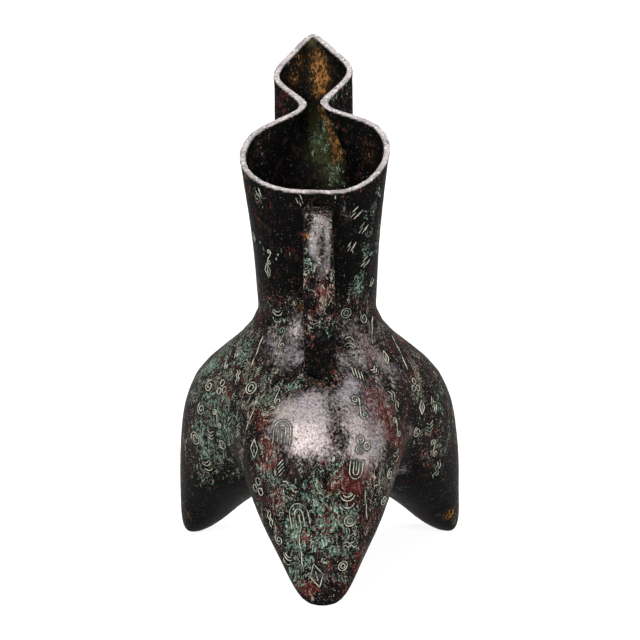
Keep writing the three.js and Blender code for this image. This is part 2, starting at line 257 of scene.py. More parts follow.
def raiseRim(piece, lip):
    # the rounded back of the rim runs a little more level than the loft gives it
    spots = vertexArray(piece, "co")
    middle, half = body["rimBearing"]
    bearing = np.degrees(np.arctan2(spots[:, 1] - axisY, spots[:, 0]))
    turned = np.clip(((bearing - middle + 180) % 360 - 180) / half, -1, 1)
    share = np.cos(turned * math.pi / 2) ** 2 * (1 - eased(lip, 0, body["rimRoot"]))
    spots[:, 2] += body["rimRaise"] * share
    moveTo(piece, spots)


def outerSide(piece, lip):
    # 1 outside and 0 inside: the skin is walked from a foot tip and the walk stops at the lip
    mesh = piece.data
    ends = np.empty(len(mesh.edges) * 2, int)
    mesh.edges.foreach_get("vertices", ends)
    ends = ends.reshape(-1, 2)
    spots = vertexArray(piece, "co")
    free = lip > body["lipStop"]
    for head in rivetHeads:  # the walk mustn't slip through their holes
        low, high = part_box(head)
        free &= ((spots - np.array((low + high) / 2)) ** 2).sum(1) > body["tenonReach"] ** 2
    ends = ends[free[ends[:, 0]] & free[ends[:, 1]]]
    both = np.concatenate([ends, ends[:, ::-1]])
    both = both[np.argsort(both[:, 0], kind="stable")]
    starts = np.searchsorted(both[:, 0], np.arange(len(mesh.vertices) + 1))
    seen = np.zeros(len(mesh.vertices), bool)
    lowest = int(np.argmin(spots[:, 2]))
    seen[lowest] = True
    front = np.array([lowest])
    while len(front):
        near = np.concatenate([both[starts[v]:starts[v + 1], 1] for v in front])
        near = np.unique(near[~seen[near]])
        seen[near] = True
        front = near
    return seen.astype(float)


def castSurface(piece, lip):
    # a cast wall is never quite even, so it is pressed in by slow waves and fine pits
    spots, normals = vertexArray(piece, "co"), vertexArray(piece, "normal")
    depth = unevenness(spots, *body["slowWaves"]) + unevenness(spots, *body["finePits"])
    depth *= eased(lip, *body["evenLip"])
    moveTo(piece, spots - normals * depth[:, None])


# Where the patina differs, and where shade and sheen are painted: x and y in the photograph's
# pixels, reach in mm, strength

patches = {
    "green": [
        (212, 412, 17, 0.75), (203, 452, 14, 0.6), (204, 375, 13, 0.7), (236, 468, 11, 0.8),
        (236, 405, 10, 0.5), (246, 345, 9, 0.8), (222, 352, 9, 0.8), (330, 520, 11, 0.65),
        (300, 542, 11, 0.9), (342, 548, 10, 0.65), (294, 577, 8, 0.9), (272, 482, 10, 0.7),
        (285, 392, 8, 0.6), (320, 470, 9, 0.6), (384, 470, 9, 0.5), (373, 209, 5, 1.6),
        (379, 192, 4, 1.4), (368, 250, 6, 1.5), (361, 278, 5, 1.6), (358, 291, 4, 1.3),
        (371, 230, 5, 1.1), (377, 244, 5, 1.0), (366, 216, 4, 0.9), (354, 284, 4, 0.9),
        (438, 398, 10, 0.4), (428, 430, 10, 0.3), (344, 88, 7, 0.7), (332, 98, 5, 0.8),
        (262, 395, 9, 0.4), (322, 570, 8, 0.5), (313, 500, 8, 0.6), (352, 520, 7, 0.5),
        (337, 470, 5, 0.7), (224, 430, 15, 0.55), (240, 362, 8, 0.7), (250, 372, 7, 0.5),
        (208, 432, 12, 0.2), (316, 545, 12, 0.5), (295, 520, 9, 0.5), (444, 440, 12, 0.45),
        (420, 400, 8, 0.4), (410, 360, 7, 0.3), (230, 343, 7, 0.5), (266, 372, 7, 0.5),
        (392, 480, 8, 0.4), (268, 405, 7, 0.4), (277, 444, 8, 0.45), (388, 142, 4, 0.7),
        (300, 486, 7, 0.6), (301, 468, 5, 0.4), (298, 383, 5, 0.5), (322, 503, 5, 0.4),
    ],
    "ochre": [
        (245, 174, 3, 0.5), (303, 307, 3, 0.8), (450, 515, 5, 0.8), (332, 493, 2, 0.8),
        (250, 190, 3, 0.4), (321, 384, 2, 0.5),
    ],
    # rubbed bare metal, laid where the highlights and sheen fall: partly wear, partly painted sheen
    "bare": [
        (380, 432, 8, 0.3), (388, 402, 8, 0.3), (271, 432, 7, 0.3), (276, 458, 7, 0.3),
        (280, 362, 8, 0.4), (268, 340, 7, 0.35), (373, 330, 7, 0.35), (396, 374, 7, 0.35),
        (345, 360, 6, 0.35), (283, 410, 7, 0.4), (284, 430, 6, 0.45), (361, 362, 7, 0.5),
        (300, 362, 6, 0.35), (356, 385, 7, 0.4), (378, 385, 7, 0.35), (366, 466, 8, 0.5),
        (379, 450, 8, 0.5), (398, 468, 7, 0.4), (325, 455, 8, 0.45), (322, 420, 6, 0.3),
        (344, 424, 7, 0.4), (360, 450, 6, 0.4), (403, 470, 7, 0.4), (276, 424, 6, 0.35),
        (321, 394, 8, 0.35), (342, 404, 6, 0.3), (305, 424, 12.5, 0.9), (300, 447, 9, 0.65),
        (311, 404, 9, 0.65), (322, 440, 7, 0.45), (288, 408, 8, 0.4), (372, 405, 8, 0.4),
        (360, 420, 8, 0.85), (362, 446, 9, 0.95), (347, 396, 7, 0.7), (296, 330, 6, 0.7),
        (294, 350, 8, 0.5), (276, 345, 8, 0.35), (362, 345, 9, 0.5), (384, 365, 8, 0.5),
        (352, 325, 6, 0.4), (350, 380, 6, 0.5), (322, 576, 6, 0.4), (392, 486, 7, 0.2),
        (299, 316, 5, 0.35), (342, 316, 5, 0.4), (342, 337, 5, 0.35), (380, 357, 7, 0.35),
        (342, 453, 6, 0.15), (383, 428, 7, 0.3), (399, 470, 7, 0.35), (340, 361, 5, 0.3),
    ],
    "red": [
        (386, 418, 13, 1.0), (374, 398, 9, 0.9), (400, 450, 10, 0.9), (360, 476, 10, 1.0),
        (349, 495, 8, 0.5), (328, 518, 7, 0.5), (270, 462, 8, 1.0), (262, 420, 9, 0.9),
        (276, 500, 7, 0.8), (303, 537, 5, 1.2), (306, 588, 7, 0.8), (362, 560, 9, 0.7),
        (226, 392, 6, 0.9), (212, 386, 6, 0.4), (400, 338, 6, 0.9), (372, 352, 7, 0.6),
        (258, 217, 7, 0.3), (293, 250, 6, 0.3), (285, 98, 5, 0.9), (248, 368, 7, 0.5),
        (416, 380, 7, 0.5), (378, 216, 4, 0.6), (338, 482, 5, 0.5), (372, 520, 8, 0.4),
    ],
    # painted shade: in the creases between the legs, under the handle's root, down the legs' outer
    # edges and undersides, and in a soft line between the front leg's two highlights
    "shadeAndBlack": [
        (186, 430, 8, 0.45), (186, 462, 8, 0.45), (455, 452, 8, 0.45), (457, 492, 8, 0.5),
        (334, 398, 4, 0.28), (335, 412, 4, 0.28), (336, 426, 4, 0.28), (337, 440, 4, 0.25),
        (246, 436, 6, 0.7), (250, 456, 6, 0.8), (245, 470, 7, 0.7), (414, 436, 6, 0.7),
        (410, 452, 6, 0.8), (243, 415, 5, 0.5), (412, 415, 5, 0.5), (330, 380, 5, 0.6),
        (306, 368, 5, 0.5), (305, 345, 4, 0.6), (318, 392, 4, 0.3), (196, 500, 15, 1.0),
        (216, 508, 13, 1.0), (190, 480, 9, 0.6), (234, 495, 10, 0.8), (440, 500, 15, 1.0),
        (424, 490, 12, 0.9), (452, 470, 9, 0.6), (410, 470, 9, 0.6),
    ],
}

# the same, seen through the mouth on the inside of the wall
mouthPatches = {
    "ochre": [
        (318, 56, 4, 0.9), (321, 68, 5, 1.0), (322, 80, 5, 1.1), (321, 91, 4, 0.9),
        (299, 60, 4, 0.35), (294, 78, 4, 0.35), (323, 113, 4, 0.7), (331, 125, 4, 0.75),
        (337, 142, 5, 0.9), (337, 156, 4, 0.7), (370, 158, 5, 0.22), (363, 144, 4, 0.15),
    ],
    "green": [
        (316, 110, 4, 1.4), (318, 124, 5, 2.3), (321, 141, 6, 2.6), (318, 158, 6, 0.7),
        (333, 168, 6, 0.9), (333, 182, 6, 0.7), (311, 42, 3, 0.9),
    ],
}

spread = {  # patches on the sides that the photograph doesn't show
    "seed": 11,
    "count": 260,
    "reaches": (5 * mm, 14 * mm),
    "kinds": ["green", "green", "red", "red", "bare"],
    "heights": (10 * mm, 290 * mm),
    "strengths": (0.3, 1.0),
    "neckShare": 0.45,  # fainter above the black of the neck
}

shade = {
    "neckBlack": (158 * mm, 182 * mm),  # heights
    "underShade": (0.15, 0.75),  # how far the skin faces down, for painted shade underneath
    "lip": (0.35 * mm, 1.0 * mm),  # from the lip's top face
    "inside": (0.8 * mm, 1.4 * mm),
}


def seenFromCamera(tree, spot, normal):
    start = spot + normal * mm
    return tree.ray_cast(start, (eye.location - start).normalized())[0] is None


def dabMasks(piece, outside, *tables):
    # soft dabs of each kind, on the side of the wall that the line of sight meets
    spots = vertexArray(piece, "co")
    tree = treeOf(piece)
    masks = {kind: np.zeros(len(spots)) for kind in ("green", "red", "bare", "ochre", "shadeAndBlack")}
    for kind, dabs in [row for table in tables for row in table.items()]:
        for px, py, reach, strength in dabs:
            spot, _ = onSurface(tree, px, py)
            gaps = ((spots - np.array(spot)) ** 2).sum(1)
            side = outside if outside[gaps.argmin()] > 0.5 else 1 - outside
            masks[kind] += strength * np.exp(-gaps / (reach * mm) ** 2) * side
    return masks


def paintMasks(piece, lip):
    spots, normals = vertexArray(piece, "co"), vertexArray(piece, "normal")
    outside = outerSide(piece, lip)
    masks = dabMasks(piece, outside, patches, mouthPatches)
    tree = treeOf(piece)
    draw = random.Random(spread["seed"])
    centre = Vector((0, axisY, 0))
    for _ in range(spread["count"]):
        turn, height = draw.uniform(0, 2 * math.pi), draw.uniform(*spread["heights"])
        kind, reach = draw.choice(spread["kinds"]), draw.uniform(*spread["reaches"])
        strength = draw.uniform(*spread["strengths"])
        if height > shade["neckBlack"][1]:
            strength *= spread["neckShare"]
        away = Vector((math.cos(turn), math.sin(turn), 0))
        spot, normal, _, _ = tree.ray_cast(centre + away * farOut + Vector((0, 0, height)), -away)
        if spot and not seenFromCamera(tree, spot, normal):
            gaps = ((spots - np.array(spot)) ** 2).sum(1)
            masks[kind] += strength * np.exp(-gaps / reach ** 2) * outside
    # painted shade on the faces that look down, and black on the neck above its heights
    masks["shadeAndBlack"] += (eased(spots[:, 2], *shade["neckBlack"])
                      + eased(-normals[:, 2], *shade["underShade"]))
    for kind, values in masks.items():
        writeMask(piece, kind, values)
    writeMask(piece, "lip", 1 - eased(lip, *shade["lip"]))
    writeMask(piece, "inside", (1 - outside) * eased(lip, *shade["inside"]))
    return outside


whole, lip = buildBody()
raiseRim(whole, lip)
castSurface(whole, lip)
outside = paintMasks(whole, lip)
bodyTree = treeOf(whole)
print("body skin:", len(whole.data.polygons), "faces")


# Raised threads of traditional ornament, which spell nothing

curls = {
    "arcStep": 26,  # degrees
    "arcSteps": 5,  # at least
    "coilSteps": 12,  # in a turn
    "coilCloses": 0.85,  # share of its radius that a coil loses
}


def arcOf(x, y, radius, start, end, squash=1.0):
    count = max(curls["arcSteps"], round(abs(end - start) / curls["arcStep"]))
    turns = [math.radians(start + (end - start) * step / count) for step in range(count + 1)]
    return [(x + radius * math.cos(turn), y + radius * squash * math.sin(turn)) for turn in turns]


def coilOf(x, y, radius, start, turns):
    count = round(turns * curls["coilSteps"])
    coil = []
    for step in range(count + 1):
        left = radius * (1 - curls["coilCloses"] * step / count)
        turn = start + 2 * math.pi * turns * step / count
        coil.append((x + left * math.cos(turn), y + left * math.sin(turn)))
    return coil


motifs = {  # strokes, in half heights of the motif
    "coil": [coilOf(0, 0, 0.8, 1.2, 1.7)],
    "scroll": [coilOf(-0.35, 0.62, 0.36, 0.2, 1.3)[::-1] + [(0.02, 0.35), (-0.02, -0.35)]
               + coilOf(0.35, -0.62, 0.36, math.pi + 0.2, 1.3)],
    "studs": [arcOf(-0.42, -0.35, 0.32, 0, 360), arcOf(0.42, -0.35, 0.32, 20, 380),
              arcOf(0, 0.42, 0.32, 40, 400)],
    "rings": [arcOf(0, 0, 0.8, 60, 420, 0.85), arcOf(0, 0, 0.38, 0, 360)],
    "arches": [[(-0.7, -0.9)] + arcOf(0, 0.1, 0.7, 180, 0, 1.1) + [(0.7, -0.9)],
               [(-0.3, -0.8)] + arcOf(0, 0.1, 0.3, 180, 0, 1.3) + [(0.3, -0.8)],
               [(0, 0.1), (0.02, -0.9)]],
    "chevrons": [[(-0.6, 0.8 - gap), (0, 0.4 - gap), (0.6, 0.8 - gap)] for gap in (0, 0.45, 0.9)],
    "bars": [[(-0.45, 0.3 - gap), (0.45, 0.95 - gap)] for gap in (0, 0.4, 0.8, 1.2)],
    "lozenge": [[(0, 1), (0.5, 0.1), (0, -0.8), (-0.5, 0.1), (0, 1)], [(0, 0.45), (0, -0.3)]],
    "waves": [[(-0.25, 1), (0.1, 0.6), (-0.2, 0.2), (0.15, -0.2), (-0.15, -0.6), (0.1, -1)],
              [(0.25, 0.9), (0.5, 0.5), (0.2, 0.1), (0.5, -0.3), (0.3, -0.7)]],
    "crescents": [arcOf(0, 0.3, 0.8, 200, 340), arcOf(0, 0.5, 0.6, 215, 325),
                  arcOf(0, -0.5, 0.7, 205, 335)],
    "scratches": [[(-0.9, -0.5), (-0.2, 0.1)], [(-0.4, -0.7), (0.5, 0.1)],
                  [(0.1, -0.4), (0.8, 0.3)], [(-0.7, 0.1), (0.1, 0.8)]],
    "furrow": [[(0.04, 1), (-0.03, 0.5), (0.03, 0), (-0.02, -0.5), (0.04, -1)]],
}

# motif, x and y in the photograph's pixels, half height in mm, turn in degrees
placings = [
    ("scroll", 277, 395, 5.8, 4), ("arches", 282, 432, 8, -4), ("bars", 281, 468, 5, 8),
    ("waves", 289, 488, 6, 70), ("arches", 299, 516, 8.5, 6), ("furrow", 301, 553, 11, 5),
    ("lozenge", 317, 577, 8, 14), ("furrow", 250, 419, 7, -6), ("lozenge", 254, 450, 6.5, 8),
    ("studs", 258, 486, 7, -8), ("waves", 269, 518, 6, 14), ("coil", 279, 540, 4.5, 30),
    ("crescents", 288, 556, 5, -18), ("scroll", 360, 407, 7.5, -10), ("studs", 362, 444, 6.5, 10),
    ("arches", 356, 470, 6, 176), ("crescents", 348, 496, 6, 8), ("rings", 350, 521, 4.5, 0),
    ("rings", 343, 566, 3.8, 20), ("waves", 350, 546, 5, 82), ("furrow", 366, 505, 9, 8),
    ("waves", 394, 401, 7, 6), ("scroll", 397, 427, 6, -12), ("crescents", 396, 452, 5, 20),
    ("coil", 390, 474, 4.5, 0), ("coil", 384, 500, 4.5, 90), ("chevrons", 376, 372, 4, 24),
    ("studs", 222, 387, 6, 18), ("scroll", 217, 419, 6, 8), ("coil", 209, 386, 5, 10),
    ("coil", 201, 409, 5, 60), ("rings", 195, 438, 5.5, 0), ("chevrons", 211, 436, 4.5, 4),
    ("waves", 237, 377, 5, 30), ("coil", 222, 444, 4.5, 130), ("crescents", 206, 462, 5, 10),
    ("bars", 238, 430, 5, 14), ("arches", 239, 352, 4, 32), ("scroll", 226, 362, 5, 40),
    ("furrow", 257, 352, 10, 8), ("rings", 251, 388, 5.5, 4), ("bars", 258, 372, 4, 12),
    ("bars", 434, 405, 5.5, 30), ("chevrons", 430, 428, 5, 8), ("scroll", 434, 448, 6, -6),
    ("waves", 436, 470, 6, -12), ("studs", 415, 385, 5.5, -14), ("lozenge", 422, 408, 5, -6),
    ("coil", 417, 432, 4.5, 30), ("furrow", 400, 352, 12, -24), ("crescents", 277, 311, 5.5, 6),
    ("scroll", 282, 338, 6, -8), ("rings", 346, 313, 4.2, 0), ("crescents", 350, 347, 5, 160),
    ("bars", 358, 374, 5.5, 40), ("lozenge", 386, 358, 5, -30), ("coil", 364, 318, 4, 60),
    ("furrow", 372, 330, 9, -30), ("scroll", 269, 257, 4.5, -30), ("lozenge", 268, 271, 5, 6),
    ("scratches", 357, 213, 5, 4), ("scratches", 364, 228, 4.5, 10),
    ("scratches", 352, 246, 4, 20), ("scratches", 366, 262, 4.5, -6),
    ("scratches", 259, 193, 3.5, 80), ("scratches", 254, 236, 3.5, 70),
    ("scratches", 372, 282, 3.5, 0), ("scratches", 300, 200, 3.5, 70),
]

ornament = {
    "radius": 0.33 * mm,
    "lift": 0.05 * mm,  # the thread's centre above the skin
    "seed": 5,
    "jitter": 8,  # degrees
    "columns": range(-24, 206, 14),  # directions round the axis, degrees
    "heights": range(24, 285, 17),  # mm
    "shy": 0.3,  # share of the places left empty
    "halfHeights": (3.6, 6.4),  # mm
    "apart": 1.35,  # gap between two motifs, in their added half heights
    "rimRoom": 12 * mm,
    "stray": 3,  # degrees and mm
    "facing": 0.4,  # how far the skin must face outwards
    "step": 1.6,  # mm along a stroke
    "sizes": (0.65, 1.15),  # of the thread's radius
    "tip": 0.5,
    # painted shadow beside the threads: full nearer than the first distance, none past the second
    "grooveAndShadow": (0.5 * mm, 1.7 * mm),
}


def addMotif(threads, motif, spot, normal, half, turn, draw):
    up = Vector((0, 0, 1)) - normal * normal.z
    up.normalize()
    side = up.cross(normal)
    swing = math.radians(turn + draw.uniform(-1, 1) * ornament["jitter"])
    across = side * math.cos(swing) + up * math.sin(swing)
    along = up * math.cos(swing) - side * math.sin(swing)
    for stroke in motifs[motif]:
        thread = []
        for (x, y), (nextX, nextY) in zip(stroke, stroke[1:] + stroke[-1:]):
            steps = max(1, round(math.hypot(nextX - x, nextY - y) * half / ornament["step"]))
            for step in range(steps):
                u, v = x + (nextX - x) * step / steps, y + (nextY - y) * step / steps
                near = spot + (across * u + along * v) * half * mm + normal * mm
                hit, away, _, _ = bodyTree.find_nearest(near)
                thread.append((hit + away * ornament["lift"], draw.uniform(*ornament["sizes"])))
        threads.append(thread)


def placeOrnament():
    draw = random.Random(ornament["seed"])
    threads, taken = [], []
    for motif, px, py, half, turn in placings:
        spot, normal = onSurface(bodyTree, px, py)
        addMotif(threads, motif, spot, normal, half, turn, draw)
        taken.append((spot, half))
    names, stray, apart = sorted(motifs), ornament["stray"], ornament["apart"]
    for turn in ornament["columns"]:
        for height in ornament["heights"]:
            bearing = math.radians(turn + draw.uniform(-stray, stray))
            level = (height + draw.uniform(-stray, stray)) * mm
            motif, half = draw.choice(names), draw.uniform(*ornament["halfHeights"])
            empty = draw.random() < ornament["shy"]
            away = Vector((math.cos(bearing), math.sin(bearing), 0))
            spot, normal, _, _ = bodyTree.ray_cast(Vector((0, axisY, level)) + away * farOut, -away)
            if empty or spot is None or normal.dot(away) < ornament["facing"]:
                continue
            if seenFromCamera(bodyTree, spot, normal):
                continue
            if lipTop.find_nearest(spot)[3] < ornament["rimRoom"]:
                continue
            if any((spot - other).length < (half + size) * apart * mm for other, size in taken):
                continue
            addMotif(threads, motif, spot, normal, half, 0, draw)
            taken.append((spot, half))
    return threads


def buildOrnament(threads):
    curve = bpy.data.curves.new("ornament", "CURVE")
    curve.dimensions = "3D"
    curve.bevel_depth = ornament["radius"]
    curve.bevel_resolution = 1
    curve.use_fill_caps = True
    for thread in threads:
        spline = curve.splines.new("POLY")
        last = len(thread) - 1
        spline.points.add(last)
        for step, (point, (spot, size)) in enumerate(zip(spline.points, thread)):
            point.co = (*spot, 1)
            point.radius = size * (ornament["tip"] if step in (0, last) else 1)
    holder = bpy.data.objects.new("ornament", curve)
    bpy.context.scene.collection.objects.link(holder)
    bpy.context.view_layer.update()
    graph = bpy.context.evaluated_depsgraph_get()
    mesh = bpy.data.meshes.new_from_object(holder.evaluated_get(graph))
    bpy.data.objects.remove(holder)
    mesh.name = "ornament"
    mesh.materials.clear()
    mesh.shade_smooth()
    piece = linkMesh("ornament", mesh)
    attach(piece, "root")
    return piece


def grooveAndShadowMask(piece, threads, outside):
    # painted shadow: the skin beside a thread is dark, as in a groove
    points = [spot for thread in threads for spot, _ in thread]
    tree = kdtree.KDTree(len(points))
    for index, spot in enumerate(points):
        tree.insert(spot, index)
    tree.balance()
    spots = vertexArray(piece, "co")
    reach = np.full(len(spots), farOut)
    for index in np.nonzero(outside)[0]:
        reach[index] = tree.find(Vector(spots[index]))[2]
    writeMask(piece, "grooveAndShadow", 1 - eased(reach, *ornament["grooveAndShadow"]))


lipTop = lipTree()
threads = placeOrnament()
grooveAndShadowMask(whole, threads, outside)
ornamentPiece = buildOrnament(threads)
print("ornament:", len(threads), "threads,", len(ornamentPiece.data.polygons), "faces")


# Parting the skin into the castings it stands for

joints = {
    "waist": 153 * mm,
    "axis": (0.26 * mm, 9.09 * mm),  # at floor level
    "lean": -0.015,  # sideways shift of the axis with height
    "legs": {"rear_leg": -90, "right_leg": 30, "left_leg": 150},  # degrees
    "crease": 60,  # degrees from a leg's middle to its joints
    "sharp": 50,  # degrees past which an edge stays crisp
}


def cutAway(work, point, normal):
    # everything on the normal's side goes, and the cut wall is closed
    cut = bmesh.ops.bisect_plane(work, geom=work.verts[:] + work.edges[:] + work.faces[:],
                                 plane_co=point, plane_no=normal, clear_outer=True)
    edges = [g for g in cut["geom_cut"] if isinstance(g, bmesh.types.BMEdge)]
    bmesh.ops.triangle_fill(work, edges=edges, use_beauty=True, normal=normal)


def castingFrom(whole, name, cuts, nodeNames):
    work = bmesh.new()
    work.from_mesh(whole.data)
    for point, normal in cuts:
        cutAway(work, point, normal)
    mesh = bpy.data.meshes.new(name)
    work.to_mesh(mesh)
    work.free()
    mesh.shade_smooth()
    mesh.set_sharp_from_angle(angle=math.radians(joints["sharp"]))
    piece = linkMesh(name, mesh)
    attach(piece, "root")
    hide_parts(*nodeNames)
    return piece


def partBody():
    (axisFootX, axisFootY), height = joints["axis"], joints["waist"]
    waist = Vector((axisFootX + joints["lean"] * height, axisFootY, height))
    foot = Vector((axisFootX, axisFootY, 0))
    axis = (waist - foot).normalized()
    up = Vector((0, 0, 1))
    spacers = [n for n in nodes if "spacer" in n]
    castings = [castingFrom(whole, "neck_skin", [(waist, -up)],
                            ["neck_and_spout", *[n for n in spacers if n.startswith("neck")]])]
    for leg, turn in joints["legs"].items():
        cuts = [(waist, up)]
        for side in (-1, 1):
            crease = math.radians(turn + joints["crease"] * side)
            along = Vector((math.cos(crease), math.sin(crease), 0))
            cuts.append((foot, axis.cross(along).normalized() * side))
        castings.append(castingFrom(whole, leg + "_skin", cuts,
                                    [leg, *[n for n in spacers if n.startswith(leg)]]))
    bpy.data.objects.remove(whole)
    return castings


castings = partBody()
print("castings:", [(c.name, len(c.data.polygons)) for c in castings])


# The strap handle, which the rivet heads lock

strap = {
    "voxel": (0.7 * mm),
    "rounds": 26,
    "endShare": 0.3,  # share of the smoothing beside the vessel
    "endReach": (0.3 * mm, 3 * mm),
    "flare": 2.2 * mm,
    "flareReach": 6 * mm,
    "sink": 1.2 * mm,
    "sinkReach": 1.6 * mm,
    "pits": (420, 0.12 * mm),  # waves per metre, depth
    "widen": 2.0 * mm,  # on its right, from the middle outwards
    "widenFrom": (-5 * mm, 5 * mm),
}

# as patches; the bare dabs are worn metal and painted highlight streaks along the strap's edges and
# top, the dark dabs painted shade down its middle, edges and lower end
strapPatches = {
    "bare": [
        (318, 217, 4, 0.4), (316, 228, 4, 0.48), (315, 240, 4, 0.5), (315, 252, 4, 0.45),
        (319, 318, 5, 0.12), (320, 334, 5, 0.28), (317, 264, 4, 0.4), (328, 221, 2.5, 0.3),
        (328, 228, 2.5, 0.38), (328, 235, 2.5, 0.42), (328, 242, 2.5, 0.42),
        (328, 249, 2.5, 0.42), (328, 256, 2.5, 0.4), (328, 263, 2.5, 0.35), (327, 270, 2.5, 0.28),
        (311, 234, 2, 0.15), (311, 240, 2, 0.2), (311, 246, 2, 0.2), (311, 252, 2, 0.18),
        (321, 275, 4, 0.3), (322, 222, 3, 0.3), (318, 290, 4, 0.15),
    ],
    "shadeAndBlack": [
        (310, 211, 3, 0.4), (330, 210, 3, 0.4), (323, 228, 1.5, 0.35), (323, 233, 1.5, 0.35),
        (323, 238, 1.5, 0.4), (323, 243, 1.5, 0.4), (323, 248, 1.5, 0.4), (323, 253, 1.5, 0.35),
        (332, 236, 2, 0.3), (332, 243, 2, 0.3), (332, 250, 2, 0.3), (332, 257, 2, 0.35),
        (332, 264, 2, 0.4), (331, 280, 3, 0.8), (306, 225, 2, 0.4), (308, 305, 5, 0.7),
        (320, 340, 8, 0.6), (320, 356, 9, 1.0), (320, 372, 8, 1.0), (330, 310, 4, 0.6),
    ],
    "green": [
        (306, 249, 2.5, 0.7), (308, 262, 2.5, 0.9), (309, 271, 3, 1.0), (310, 290, 3.5, 0.6),
        (328, 333, 4, 0.8), (318, 326, 4, 0.4),
    ],
    "ochre": [
        (306, 236, 2.5, 0.5),
    ],
    "red": [
        (320, 286, 5, 0.45), (325, 276, 3.5, 0.5), (323, 297, 5, 0.5), (319, 309, 4, 0.6),
        (330, 268, 2.5, 0.6), (314, 322, 4, 0.3), (307, 240, 2, 0.4),
    ],
}


def seatStrap(piece):
    # the strap's ends flare and run into the vessel; gives each vertex's distance and inward move
    spots, normals = vertexArray(piece, "co"), vertexArray(piece, "normal")
    gaps, inward = np.full(len(spots), farOut), np.zeros((len(spots), 3))
    for index, spot in enumerate(spots):
        near, away, _, gap = bodyTree.find_nearest(Vector(spot))
        if (Vector(spot) - near).dot(away) < 0:
            continue
        gaps[index] = gap
        if gap < strap["flareReach"]:
            normal = Vector(normals[index])
            sideways = normal - away * normal.dot(away)
            nearness = (1 - gap / strap["flareReach"]) ** 2
            spots[index] += np.array(sideways * strap["flare"] * nearness)
            inward[index] = away * -strap["sink"] * max(0, 1 - gap / strap["sinkReach"])
    moveTo(piece, spots)
    return gaps, inward


def buildStrap():
    piece = mergedCopy("strap_skin", ["strap_handle"])
    voxelSkin(piece, strap["voxel"])
    spots = vertexArray(piece, "co")
    spots[:, 0] += strap["widen"] * eased(spots[:, 0] - spots[:, 0].mean(), *strap["widenFrom"])
    moveTo(piece, spots)
    gaps, inward = seatStrap(piece)
    soften(piece, np.maximum(eased(gaps, *strap["endReach"]), strap["endShare"]), strap["rounds"])
    spots, normals = vertexArray(piece, "co") + inward, vertexArray(piece, "normal")
    moveTo(piece, spots - normals * unevenness(spots, *strap["pits"])[:, None])
    for kind, values in dabMasks(piece, np.ones(len(spots)), strapPatches).items():
        writeMask(piece, kind, values)
    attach(piece, "root")
    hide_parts("strap_handle")
    return piece


strapPiece = buildStrap()
print("strap:", len(strapPiece.data.polygons), "faces")


# Materials

def put(tree, kind, inputs=None, **traits):
    made = tree.nodes.new("ShaderNode" + kind)
    for trait, value in traits.items():
        setattr(made, trait, value)
    for socket, value in (inputs or {}).items():
        if isinstance(value, bpy.types.NodeSocket):
            tree.links.new(value, made.inputs[socket])
        else:
            made.inputs[socket].default_value = value
    return made


def newTree(name):
    material = bpy.data.materials.new(name)
    material.use_nodes = True
    material.node_tree.nodes.clear()
    return material, material.node_tree


def grain(tree, place, settings):
    scale, detail, rough, twist = settings
    return put(tree, "TexNoise", {"Vector": place, "Scale": scale, "Detail": detail,
                                  "Roughness": rough, "Distortion": twist}).outputs["Fac"]


def calc(tree, how, first, second=0.0, clamp=False):
    return put(tree, "Math", {0: first, 1: second}, operation=how, use_clamp=clamp).outputs[0]


def mixed(tree, first, second, parts):
    # a weighted sum of two
    return calc(tree, "ADD", calc(tree, "MULTIPLY", first, parts[0]),
                calc(tree, "MULTIPLY", second, parts[1]))


def pulled(tree, value, masks, pulls):
    # masks move a noise up or down, so that its colour spreads or shrinks there
    for mask, pull in pulls.items():
        value = calc(tree, "ADD", value, calc(tree, "MULTIPLY", masks[mask], pull))
    return value


def band(tree, value, low, high, fromValue=0.0, toValue=1.0):
    return put(tree, "MapRange", {"Value": value, "From Min": low, "From Max": high,
                                  "To Min": fromValue, "To Max": toValue},
               interpolation_type="SMOOTHSTEP").outputs["Result"]


def blendColour(tree, share, under, over):
    made = put(tree, "Mix", {"Factor": share}, data_type="RGBA")
    for socket, value in ((made.inputs[6], under), (made.inputs[7], over)):
        if isinstance(value, bpy.types.NodeSocket):
            tree.links.new(value, socket)
        else:
            socket.default_value = (*value, 1)
    return made.outputs[2]


def maskOf(tree, name):
    return put(tree, "Attribute", attribute_name=name).outputs["Fac"]


patina = {
    "black": (0.0030, 0.0028, 0.0030),
    "brown": (0.024, 0.0155, 0.014),
    "red": (0.056, 0.011, 0.010),
    "redPale": (0.19, 0.060, 0.050),
    "teal": (0.022, 0.060, 0.052),
    "green": (0.105, 0.185, 0.140),
    "pale": (0.54, 0.64, 0.52),
    "net": (0.52, 0.50, 0.40),
    "netGreen": (0.30, 0.39, 0.30),
    "dust": (0.46, 0.43, 0.35),
    "ochre": (0.38, 0.17, 0.05),
    "ochreDark": (0.045, 0.025, 0.010),
    "lilac": (0.27, 0.25, 0.30),
    "pit": (0.045, 0.038, 0.038),
    "lip": (0.56, 0.50, 0.49),
    "lipGrey": (0.34, 0.31, 0.315),
    "lipWhite": (0.82, 0.80, 0.80),
    "lipDark": (0.20, 0.16, 0.15),
    "ochreStain": (0.095, 0.052, 0.016),
    "greenStain": (0.058, 0.062, 0.024),
    "specular": 0.02,
    "streak": 0.5,
    "bareMiddle": 0.625,  # mean of the noise that edges the bare metal and its painted sheen
    "bareReach": 0.36,
    "lilacShare": 0.5,
    "veins": 9,  # in the whole range of their noise
    "veinShare": 0.9,
    # painted shadow beside the threads
    "grooveShadowShare": 0.72,
    "crustRough": 0.9,
    "relief": 0.3 * mm,
}

